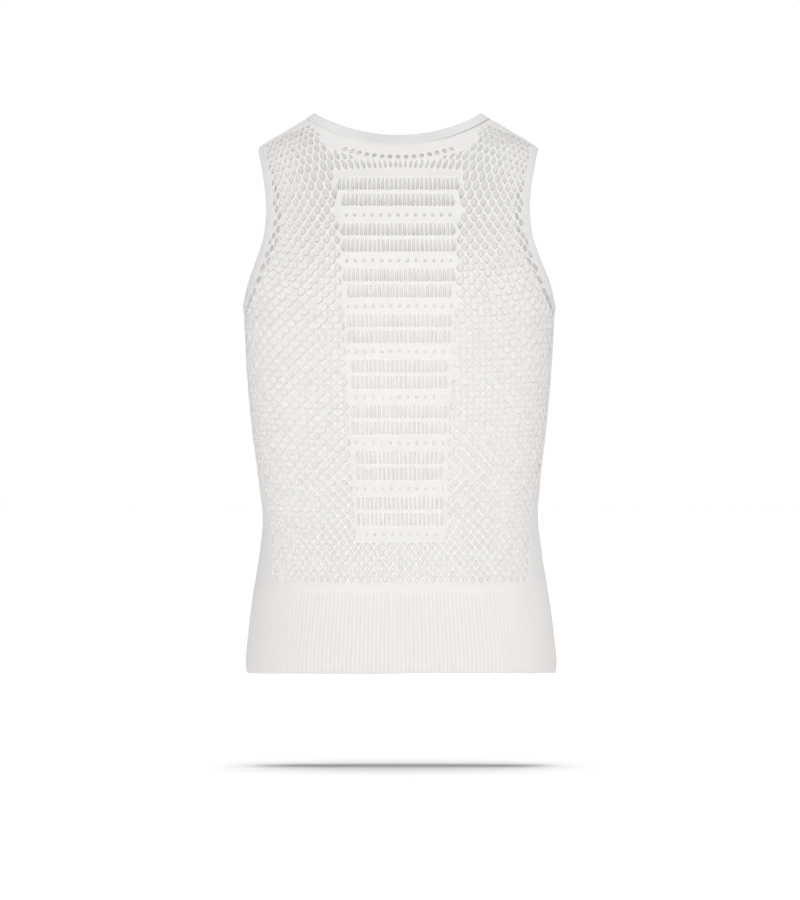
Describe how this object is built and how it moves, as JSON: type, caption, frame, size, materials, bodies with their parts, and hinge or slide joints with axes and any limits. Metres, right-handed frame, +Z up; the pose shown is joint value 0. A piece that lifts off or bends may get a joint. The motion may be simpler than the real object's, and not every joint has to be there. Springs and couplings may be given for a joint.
{
  "type": "sleeveless mesh base layer",
  "caption": "Close-fitting sleeveless sports undershirt of open diamond mesh with an openwork column down the back, banded neck and armholes and a deep ribbed hem, held open as worn.",
  "frame": {"origin": "midway between the two neck points, where the shoulder lines meet the neckline, and level with them", "axes": "+Z up, +Y towards the wearer's front, +X towards the wearer's right shoulder"},
  "size_m": [0.3424, 0.2295, 0.6109],
  "materials": {
    "mesh_cloth": "matt white knitted mesh",
    "rib_cloth": "matt white ribbed knit",
    "band_cloth": "matt white smooth knit"
  },
  "bodies": {
    "root": {"back_panel": "mesh_cloth", "front_panel": "mesh_cloth", "hem_rib": "rib_cloth", "neck_band": "band_cloth", "armhole_band_right": "band_cloth", "armhole_band_left": "band_cloth"}
  },
  "joints": []
}
